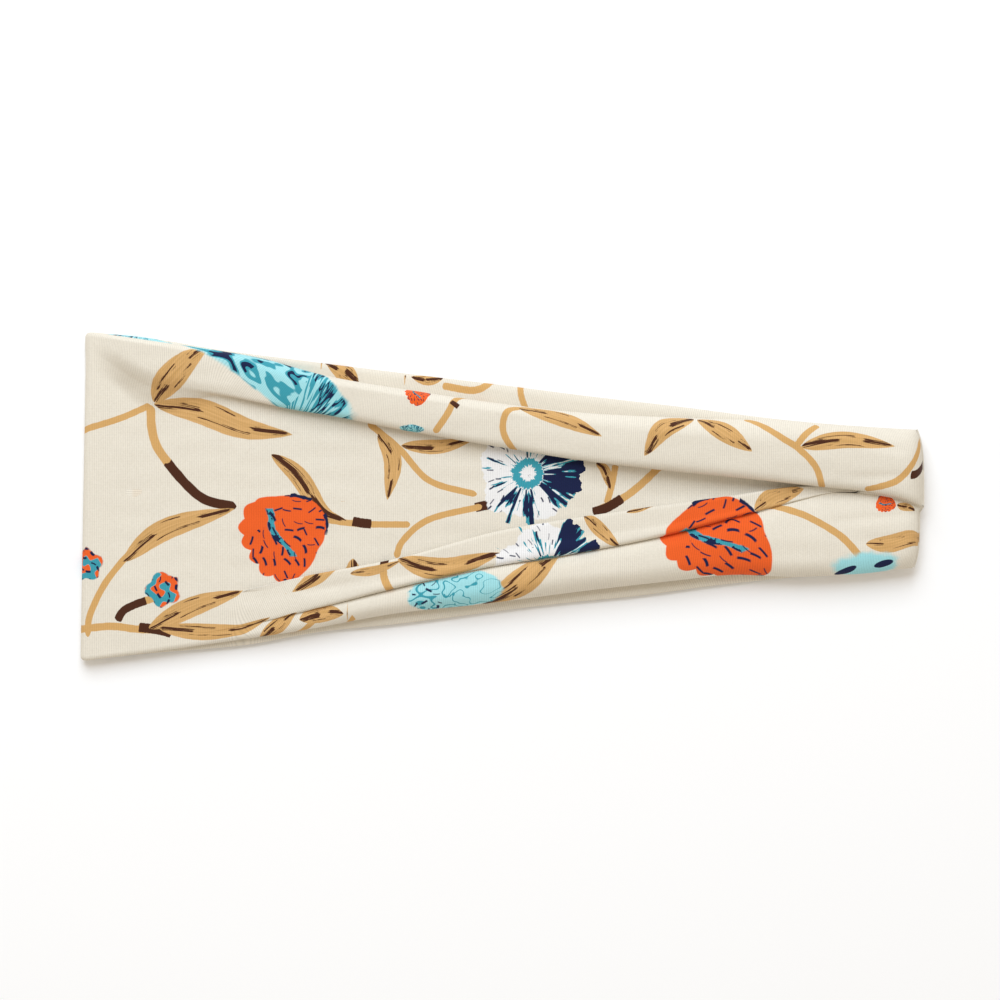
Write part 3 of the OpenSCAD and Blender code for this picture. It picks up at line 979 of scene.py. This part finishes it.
def bloom_group():
    """All kinds of bloom. Outlines are polar curves, r as a sum of sines of the angle. Brush
    strokes are noise stretched along the radius, or scattered dashes."""
    names = ("Orange", "Teal", "Aqua", "Navy", "White")
    group, given, give = new_group("Bloom", {"Place": "Vector"}, {n: "Float" for n in names})
    x, y, kind = parts_of(group, given["Place"])
    r = (x * x + y * y).root()
    angle = y.math("ARCTAN2", x)
    east, north = x / (r + 0.001), y / (r + 0.001)
    grain = noise_of(group, vector_of(group, x, y, kind), 6.0, 3.0) - 0.5
    blot = noise_of(group, vector_of(group, x, y, kind * 3), 2.6, 1.0) - 0.5
    streak = noise_of(group, vector_of(group, east * 2.6, north * 2.6, r * 0.8), 1.9, 3.0) - 0.5
    fine = noise_of(group, vector_of(group, east * 6, north * 6, r * 1.5), 1.6, 2.0) - 0.5

    def is_kind(number):
        return (kind - (number + 1)).size().under(0.01)

    def wedge(middle, half):
        """1 within half of the angle middle, in radians"""
        gap = ((angle - middle) / 2).sine().size()
        return gap.ramp(math.sin(half / 2), math.sin(half / 2) * 0.7)

    # an orange head: a rounded triangle with scallops down one side and a dark heart line
    scallop = 1 - (angle * 7 + blot * 1.5).sine().size()
    outline = 0.83 + (angle * 3 + 1.5 * PI).math("COSINE") * 0.07 + blot * 0.1 - (
        scallop * wedge(3.5, 1.5) * 0.1)
    head = (outline - r + grain * 0.03).ramp(-0.01, 0.014) * is_kind(ORANGE)
    heart_x = x + 0.06 + y * 0.5 + (y * 7 + 1).sine() * 0.07
    heart = (0.075 + blot * 0.12 - heart_x.size() + grain * 0.12).least(
        0.46 - (y - 0.05).size()).ramp(-0.01, 0.02)
    dashes = scattered_dashes(group, x, y, 4.8, 0.1, 0.02, (-0.55, 0.65), 1.6)
    dashes = dashes * (x * 0.7 - y * 0.5 + 0.4 + blot * 1.2).over(0.0)
    rim = (0.035 + grain * 0.12 - (r - outline).size()).ramp(-0.01, 0.015) * wedge(0.75, 0.9)
    rim = rim * ((angle * 7).sine() + blot).over(-0.1)
    orange_navy = (dashes * head).most(rim * is_kind(ORANGE)).most(
        heart * head * (grain * 1.6 - heart_x).over(0.07))
    orange_teal = heart * head

    # a blue bloom: pale middle, ragged teal ring, white petals brushed over in navy and teal
    petal = 0.86 + (angle * 5 + 1).sine() * 0.06 + streak * 0.3
    body = (petal - r).ramp(-0.01, 0.02) * is_kind(BLUE)
    ring_at = r + fine * 0.16 + blot * 0.05
    ring = (ring_at - 0.13).ramp(0, 0.02) * (0.3 - ring_at).ramp(0, 0.02)
    heavy = wedge(0.0, 1.0) * 0.34 + wedge(-1.75, 0.7) * 0.2 + wedge(1.5, 0.6) * 0.08 - 0.05
    brushed = streak * 0.9 + fine * 0.75 + heavy - 0.14 - (r - 0.5).size() * 0.24
    near = (r + fine * 0.1).over(0.3) * (0.97 + streak * 0.5 - r).over(0.0) * is_kind(BLUE)
    blue_navy = brushed.ramp(0.0, 0.02) * near
    blue_teal = (brushed + 0.055 + blot * 0.05).ramp(0.0, 0.02) * near
    marks = scattered_dashes(group, x, y, 5.2, 0.07, 0.013, (0, 0), 0.9)
    marks = (marks * r.over(0.5)).most((grain + fine * 0.7).over(0.2) * r.under(0.13)) * body

    # a pale bloom: an aqua patch with teal pen lines
    oval = ((x * x) + (y * y) * 3.6).root()
    patch = (0.9 - oval + grain * 0.16 + blot * 0.12).ramp(-0.02, 0.05) * is_kind(PALE)
    swirl = noise_of(group, vector_of(group, x * 1.3, y * 2.0, 7.0), 1.7, 1.0)
    pen = ((swirl * 17).sine().size() + x * 0.2 - 0.05).ramp(0.36, 0.12)
    pale_teal = (pen * patch).most(patch * (grain + blot * 0.6).over(0.17))
    pale_navy = scattered_dashes(group, x, y, 4.6, 0.07, 0.02, (-0.5, 0), 2.0) * patch * (
        x + 0.55).size().under(0.24)

    # a spray: curled petals edged in near black, fanning out to the right
    body_s = 0.86 - ((x * x) + (y * y) * 6.5).root() + (x * 7 + y * 4).sine() * 0.05 + grain * 0.16
    spray = body_s.ramp(-0.03, 0.06) * is_kind(SPRAY)
    fan_x, fan_y = x - 0.28, y + 0.42
    fan_angle = fan_y.math("ARCTAN2", fan_x)
    fan_reach = (fan_x * fan_x + fan_y * fan_y).root()
    fan = noise_of(group, vector_of(group, fan_angle * 4.5, fan_reach, 2.0), 1.5, 2.0)
    curl = noise_of(group, vector_of(group, x * 1.1 - y, y * 2.2 + x * 0.5, 1.0), 2.0, 1.5)
    right = x.over(0.12)
    bands = ((fan * 26).sine() * right) + (curl * 30).sine() * (1 - right)
    spray_teal = bands.ramp(-0.25, 0.2) * spray
    spray_dark = (bands - 0.72 + grain * 0.9).ramp(-0.04, 0.04) * spray * body_s.over(0.04)
    spray_dark = spray_dark * noise_of(group, vector_of(group, x, y, 5.0), 2.6, 0.0).over(0.47)

    # buds: teal knots with orange petals, edged in dark dashes
    knob = (0.7 + blot * 0.3 + (angle * 5).sine() * 0.06 - r).ramp(-0.02, 0.05) * is_kind(BUD)
    knot = noise_of(group, vector_of(group, x, y, 11.0), 2.0, 0.0)
    bud_orange = knob * (knot - 0.5 + x * 0.3 + y * 0.1).ramp(0.0, 0.04)
    bud_navy = scattered_dashes(group, x, y, 2.6, 0.14, 0.045, (0, -1), 1.6) * knob

    # ovals: a pale ground with two dark ovals
    ground = (0.86 - ((x * x) + (y * y) * 5.5).root() + grain * 0.3 + blot * 0.3).ramp(-0.05, 0.25)

    def dark_oval(x0, y0, lean):
        u, v = x - x0, y - y0
        v = v - u * lean
        return (0.055 - (u * u * 0.9 + v * v * 6.5) + grain * 0.02).ramp(-0.004, 0.006)

    pair = dark_oval(0.42, 0.03, 0.12).most(dark_oval(-0.5, -0.1, 0.45)) * is_kind(OVALS)

    orange = head.most(bud_orange)
    teal = orange_teal.most(blue_teal).most(ring * is_kind(BLUE)).most(pale_teal).most(
        spray_teal).most(knob * (1 - bud_orange))
    navy = orange_navy.most(blue_navy).most(marks).most(pale_navy).most(spray_dark).most(
        bud_navy).most(pair)
    give(Orange=orange, Teal=teal, Aqua=patch.most(spray).most(ground * is_kind(OVALS)), Navy=navy,
         White=body)
    return group


def new_material(name):
    material = bpy.data.materials.new(name)
    material.use_nodes = True
    return material, material.node_tree


def knitted(tree, cloth, wale):
    """The knit's height and shade, which is painted shade in its grooves with the yarn's own tone;
    both faces of the cloth share one group.
    """
    knit = placed(tree, bpy.data.node_groups.get("Knit") or knit_group(), Cloth=cloth, Wale=wale)
    return knit["Shade"], knit["Height"]


def toned(colour, *factors):
    """A colour times one factor, or each of its channels times its own."""
    return [c * k for c, k in zip(colour, factors if len(factors) == 3 else factors * 3)]


def attribute_of(tree, name):
    node = tree.nodes.new("ShaderNodeAttribute")
    node.attribute_name = name
    return node.outputs["Vector"]


def printed_jersey(scene, channels):
    """Cream single jersey with the print laid over it: stems, then leaves, then blooms. The knit
    darkens the colour between its wales with painted shade and raises the surface along them;
    the print fades on the reverse side."""
    ink = scene.headband_print
    material, tree = new_material("printed_jersey")
    cloth = attribute_of(tree, "cloth")
    knit = knitted(tree, cloth, scene.headband_cloth.wale)
    colour = mixed(tree, noise_of(tree, cloth, 0.9, 3.0), toned(ink.ground, 1.04),
                   toned(ink.ground, 0.955, 0.945, 0.92))
    layers = {
        "stem": (stem_group(), (("Fill", ink.tan), ("Bark", ink.brown))),
        "leaf": (leaf_group(), (("Fill", None), ("Stroke", ink.brown))),
        "bloom": (bloom_group(), (("White", ink.white), ("Aqua", ink.aqua),
                                  ("Orange", ink.orange), ("Teal", ink.teal),
                                  ("Navy", ink.navy)))}
    for kind, (group, tones) in layers.items():
        for name in sorted(n for n in channels if n.startswith(kind)):
            out = placed(tree, group, Place=attribute_of(tree, name))
            for part, tone in tones:
                if tone is None:
                    tone = mixed(tree, Wire(tree, out["Tint"]).ramp(0.3, 0.7),
                                 toned(ink.tan, 1.06, 1.08, 1.2), toned(ink.tan, 0.9))
                colour = mixed(tree, out[part], colour, tone)
    reverse = parts_of(tree, cloth)[2].ramp(0.6, 0.4) * 0.8
    colour = mixed(tree, reverse, colour, toned(ink.ground, 1.03))
    finish_surface(tree, colour, *knit, 0.00012)
    return material


def finish_surface(tree, colour, shade, height, depth, roughness=0.88):
    """Plugs in a soft cotton surface: the colour darkened by shade (painted shade in the grooves of
    the knit or the thread, and the knit's uneven yarn tone), and a bump of depth metres.
    """
    shader = tree.nodes["Principled BSDF"]
    worn = tree.nodes.new("ShaderNodeMix")
    worn.data_type, worn.blend_type = "RGBA", "MULTIPLY"
    worn.inputs["Factor"].default_value = 1.0
    plug(tree, worn.inputs["A"], colour)
    plug(tree, worn.inputs["B"], vector_of(tree, shade, shade, shade))
    plug(tree, shader.inputs["Base Color"], worn.outputs["Result"])
    bump = tree.nodes.new("ShaderNodeBump")
    bump.inputs["Strength"].default_value = 0.4
    bump.inputs["Distance"].default_value = depth
    plug(tree, bump.inputs["Height"], height)
    plug(tree, shader.inputs["Normal"], bump.outputs["Normal"])
    shader.inputs["Roughness"].default_value = roughness
    shader.inputs["Specular IOR Level"].default_value = 0.18
    shader.inputs["Sheen Weight"].default_value = 0.05
    shader.inputs["Sheen Roughness"].default_value = 0.6


def jersey_reverse(scene):
    """The reverse of the jersey: rows of purl arcs, with the print showing through as soft tan
    and grey patches."""
    ink = scene.headband_print
    material, tree = new_material("jersey_reverse")
    cloth = attribute_of(tree, "cloth")
    along, across, _ = parts_of(tree, cloth)
    # the knit's shade is painted shade between the purl arcs, with the yarn's own tone
    knit = knitted(tree, vector_of(tree, across, along), 0.62)
    ghost = noise_of(tree, cloth, 0.09, 1.0).ramp(0.52, 0.6) * 0.35
    pale = toned(ink.ground, 1.03)
    colour = mixed(tree, ghost, pale, [0.6 * a + 0.4 * b for a, b in zip(pale, ink.tan)])
    finish_surface(tree, colour, *knit, 0.00014)
    return material


def overlock_thread(scene):
    """Spun polyester thread: three plies twisted round each other, with painted shade between the
    plies.
    """
    spun = scene.headband_print.thread
    material, tree = new_material("overlock_thread")
    cloth = attribute_of(tree, "cloth")
    along, turn, _ = parts_of(tree, cloth)
    ply = ((along * 7 + turn) * 1.5).sine().size()
    colour = mixed(tree, noise_of(tree, cloth, 3.0, 2.0), spun, toned(spun, 0.9))
    # painted shade: the colour is darkened to 0.7 between the plies
    finish_surface(tree, colour, ply * 0.3 + 0.7, ply, 0.00004, 0.6)
    return material


# ---------------------------------------------------------------- pieces

def finish_cloth(piece, material):
    piece.data.materials.append(material)
    return piece


def band_middle():
    return (0.0, 0.0, CAD_BOX[1][2] / 2)


class HEADBAND_OT_cloth(bpy.types.Operator):
    """Make the band: the lower half with the crown fold, and the upper half in two parts"""
    bl_idname = "headband.cloth"
    bl_label = "Band of cloth"

    def execute(self, context):
        cloth = context.scene.headband_cloth
        lower, upper = weave_sheets(cloth)
        outward = 1 if upper.normals[5, VALLEY, 2] > 0 else -1
        lay_print((lower, upper), Ground((lower, outward), (upper, outward)))
        jersey = printed_jersey(context.scene, upper.channels)
        middle = int(np.argmin(np.abs(upper.place[:, VALLEY, 0])))
        half = LENGTH / 2 * MM
        crown_x = upper.points[0, VALLEY, 0] * MM

        piece = finish_cloth(shell("lower_half_cloth", lower, cloth.ply, outward), jersey)
        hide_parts("lower_outer_ply", "lower_inner_ply", "lower_top_pleat",
                    "lower_low_pleat", "crown_fold_outer", "crown_fold_inner", "lower_nape_end")
        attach(piece, "root")
        2 * half

        piece = finish_cloth(shell("upper_half_cloth_to_crown", upper.part(0, middle + 1),
                                   cloth.ply, outward), jersey)
        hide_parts("upper_inner_ply", "upper_centre_ply", "upper_mid_pleat")
        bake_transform(piece)

        piece = finish_cloth(shell("upper_half_cloth_to_nape", upper.part(middle, None),
                                   cloth.ply, outward), jersey)
        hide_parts("upper_top_pleat", "upper_low_pleat", "upper_nape_end")
        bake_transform(piece)
        return {"FINISHED"}


class Strip(Sheet):
    """A narrow fold of cloth: a section (samples, 2) swept along a row of places. across_band says
    that the places run along Y and the section along X."""

    def __init__(self, section_points, rows, across_band=False):
        rows = np.asarray(rows, float)
        section_points = np.asarray(section_points, float)
        run = distance_along(section_points)
        shape = (len(rows), len(section_points))
        swept = np.broadcast_to(rows[:, None], shape)
        flat = np.broadcast_to(section_points[None, :, 0], shape)
        high = np.broadcast_to(section_points[None, :, 1], shape)
        wobble = 0.06 * np.sin(rows / 3.1)[:, None]
        axes = (flat, swept, high) if across_band else (swept, flat + wobble, high)
        self.points = np.stack(axes, axis=-1)
        self.normals = normals_of(self.points)
        self.place = np.stack([swept, np.broadcast_to(run[None, :], shape)], axis=-1)
        self.channels = {}


def serpentine(first, last, low, high, plies):
    """Section of cloth folded to and fro between two edges, from low to high: level flights joined
    by half circles."""
    rise_each = (high - low) / (plies - 1)
    radius = rise_each / 2
    points = []
    for k in range(plies):
        way = 1 if k % 2 == 0 else -1
        start, end = (first + radius, last - radius)[::way]
        level = low + k * rise_each
        points += [(start + (end - start) * t, level) for t in np.linspace(0, 1, 5)]
        if k < plies - 1:
            for angle in np.linspace(-math.pi / 2, math.pi / 2, 9)[1:-1]:
                points.append((end + way * radius * math.cos(angle),
                               level + radius + radius * math.sin(angle)))
    return points


def thread(name, path, diameter, sides=6):
    """A round thread along a path (points, 3), with the attribute cloth = (length, angle, 1)."""
    path = np.asarray(path, float)
    ahead = np.gradient(path, axis=0)
    ahead /= np.linalg.norm(ahead, axis=1, keepdims=True)
    side = np.cross(ahead, [0.0, 0.0, 1.0])
    side /= np.linalg.norm(side, axis=1, keepdims=True)
    up = np.cross(side, ahead)
    angle = np.linspace(0, 2 * math.pi, sides, endpoint=False)
    ring = (np.cos(angle)[None, :, None] * side[:, None]
            + np.sin(angle)[None, :, None] * up[:, None])
    points = path[:, None] + diameter / 2 * ring
    i, j = np.meshgrid(np.arange(len(path) - 1), np.arange(sides), indexing="ij")
    after = (j + 1) % sides
    faces = np.stack([i * sides + j, i * sides + after, (i + 1) * sides + after,
                      (i + 1) * sides + j], axis=-1).reshape(-1, 4).tolist()
    faces += [list(range(sides))[::-1], [(len(path) - 1) * sides + k for k in range(sides)]]
    mesh = bpy.data.meshes.new(name)
    mesh.from_pydata((points.reshape(-1, 3) * MM).tolist(), [], faces)
    for polygon in mesh.polygons[:-2]:
        polygon.use_smooth = True
    set_attribute(mesh, "cloth", np.column_stack(
        [np.repeat(distance_along(path), sides), np.tile(angle, len(path)),
         np.ones(len(path) * sides)]))
    return add_object(name, mesh)


THREAD = 0.22      # diameter of the overlock thread, in millimetres


def overlock_path(start, end, middle, reach, level, pitch=2.4):
    """Looper thread of an overlocked edge: a slanted zigzag with round turns."""
    t = np.linspace(0, (end - start) / pitch, max(2, round((end - start) / pitch)) * 14 + 1)
    swing = np.sin(2 * math.pi * t)
    along = start + pitch * (t + 0.16 * np.sin(4 * math.pi * t))
    across = middle + reach * np.sign(swing) * np.abs(swing)**0.8
    return np.stack([along, across, np.full(len(t), level)], axis=-1)


class HEADBAND_OT_seams(bpy.types.Operator):
    """Make the long seams inside both tubes, and the nape seam's bundle, with their threads"""
    bl_idname = "headband.seams"
    bl_label = "Seams"

    def execute(self, context):
        cloth = context.scene.headband_cloth
        reverse, spun = jersey_reverse(context.scene), overlock_thread(context.scene)
        centre = band_middle()
        crown_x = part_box("upper_centre_ply")[0][0]
        nape_x = (LENGTH / 2 - NAPE_TURN) * MM
        to_crown = dict(a="root", b="upper_half", start=(crown_x, 0, centre[2]), end=centre)
        to_nape = dict(a="upper_half", b="root", start=centre, end=(nape_x, 0, centre[2]))

        def finish(piece, material, nodes, bend, flat=None):
            piece.data.materials.append(material)
            "jersey_reverse" if material == reverse else "overlock_thread"
            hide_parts(*nodes)
            if bend:
                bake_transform(piece)
            else:
                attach(piece, "root")

        ply = cloth.ply - 0.03
        for half, parts in (("lower", [("", None, None, None)]),
                            ("upper", [("_to_crown", None, 0.0, to_crown),
                                       ("_to_nape", 0.0, None, to_nape)])):
            seam, stitches = f"{half}_tube_seam", f"{half}_tube_thread"
            (x0, y0, z0), (x1, y1, z1) = np.array(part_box(seam)) / MM
            (t0, _, s0), (t1, _, s1) = np.array(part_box(stitches)) / MM
            for label, first, last, bend in parts:
                start, end = (x0 if first is None else first), (x1 if last is None else last)
                rows = np.linspace(start, end, round((end - start) / 2) + 1)
                strip = Strip(serpentine(y0, y1, z0, z1, 2), rows)
                piece = shell(f"{seam}_allowance{label}", strip, ply, 1)
                finish(piece, reverse, [seam], bend,
                       (round(2 * (y1 - y0) * MM, 5), (end - start) * MM))
                start, end = (t0 if first is None else first), (t1 if last is None else last)
                path = overlock_path(start, end, (y0 + y1) / 2, (y1 - y0) / 2 - 0.6, (s0 + s1) / 2)
                finish(thread(f"{stitches}_overlock{label}", path, THREAD), spun, [stitches], bend)

        (x0, y0, z0), (x1, y1, z1) = np.array(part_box("nape_seam_allowance")) / MM
        rows = np.linspace(y0, y1, 24)
        strip = Strip(serpentine(x0, x1, z0, z1, 4), rows, across_band=True)
        piece = shell("nape_seam_bundle", strip, ply, 1)
        finish(piece, reverse, ["nape_seam_allowance"], None, (4 * (x1 - x0) * MM, (y1 - y0) * MM))
        (x0, y0, z0), (x1, y1, z1) = np.array(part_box("nape_seam_thread")) / MM
        path = overlock_path(y0, y1, -(x0 + x1) / 2, (x1 - x0) / 2 - 0.2, (z0 + z1) / 2)
        path = np.stack([-path[:, 1], path[:, 0], path[:, 2]], axis=-1)
        finish(thread("nape_seam_overlock", path, THREAD), spun, ["nape_seam_thread"], None)
        return {"FINISHED"}


# The stage, in metres: half the floor's width, and the width of the view at the band's height
FLOOR, VIEW_WIDTH = 3.0, 0.285
LENS, SENSOR = 120, 36      # in millimetres
WARM, DAYLIGHT = (1.0, 0.915, 0.8), (0.8, 0.885, 1.0)
# Name, place, width in metres, power in watts and colour of each lamp
LAMPS = (("window", (-0.15, 0.85, 1.05), 1.0, 16.2, DAYLIGHT),
         ("fill", (0.3, -1.3, 1.3), 1.2, 0.6, WARM))


class HEADBAND_OT_stage(bpy.types.Operator):
    """Make the floor, the lights and the camera, which looks straight down"""
    bl_idname = "headband.stage"
    bl_label = "Stage"

    def execute(self, context):
        scene = context.scene
        mesh = bpy.data.meshes.new("floor")
        mesh.from_pydata([(-FLOOR, -FLOOR, 0), (FLOOR, -FLOOR, 0), (FLOOR, FLOOR, 0),
                          (-FLOOR, FLOOR, 0)], [], [(0, 1, 2, 3)])
        floor = add_object("floor", mesh)
        paper, tree = new_material("white_paper")
        for slot, value in (("Base Color", (0.97, 0.97, 0.97, 1)), ("Roughness", 0.9),
                            ("Specular IOR Level", 0.1)):
            tree.nodes["Principled BSDF"].inputs[slot].default_value = value
        mesh.materials.append(paper)

        world = bpy.data.worlds.new("studio")
        scene.world = world
        world.use_nodes = True
        background = world.node_tree.nodes["Background"]
        background.inputs["Color"].default_value = (*WARM, 1)
        background.inputs["Strength"].default_value = 0.6
        for name, place, width, power, tint in LAMPS:
            light = bpy.data.lights.new(name, "AREA")
            light.size, light.energy, light.color = width, power, tint
            lamp = add_object(name, light)
            lamp.location = place
            lamp.rotation_euler = (-lamp.location).to_track_quat("-Z", "Y").to_euler()

        camera = add_object("camera", bpy.data.cameras.new("camera"))
        camera.data.sensor_width, camera.data.lens = SENSOR, LENS
        camera.data.clip_start = 0.05
        camera.location = (-0.0004, -0.001, VIEW_WIDTH * LENS / SENSOR + 0.005)
        scene.camera = camera
        scene.view_settings.view_transform = "Standard"
        scene.view_settings.look = "None"
        return {"FINISHED"}


class HEADBAND_PT_panel(bpy.types.Panel):
    """Lists the sizes, the colours and the operators"""
    bl_idname = "HEADBAND_PT_panel"
    bl_label = "Gathered headband"
    bl_space_type = "VIEW_3D"
    bl_region_type = "UI"
    bl_category = "Headband"

    def draw(self, context):
        for group in (context.scene.headband_cloth, context.scene.headband_print):
            for name in group.bl_rna.properties.keys():
                if name not in {"rna_type", "name"}:
                    self.layout.prop(group, name)
        for operator in OPERATORS:
            self.layout.operator(operator.bl_idname)


OPERATORS = (HEADBAND_OT_cloth, HEADBAND_OT_seams, HEADBAND_OT_stage)
CLASSES = (HeadbandCloth, HeadbandPrint, *OPERATORS, HEADBAND_PT_panel)


def register():
    for cls in CLASSES:
        bpy.utils.register_class(cls)
    bpy.types.Scene.headband_cloth = bpy.props.PointerProperty(type=HeadbandCloth)
    bpy.types.Scene.headband_print = bpy.props.PointerProperty(type=HeadbandPrint)


def unregister():
    del bpy.types.Scene.headband_print
    del bpy.types.Scene.headband_cloth
    for cls in reversed(CLASSES):
        bpy.utils.unregister_class(cls)


def main():
    register()
    for operator in OPERATORS:
        getattr(bpy.ops.headband, operator.bl_idname.split(".")[1])()


if __name__ == "__main__":
    main()
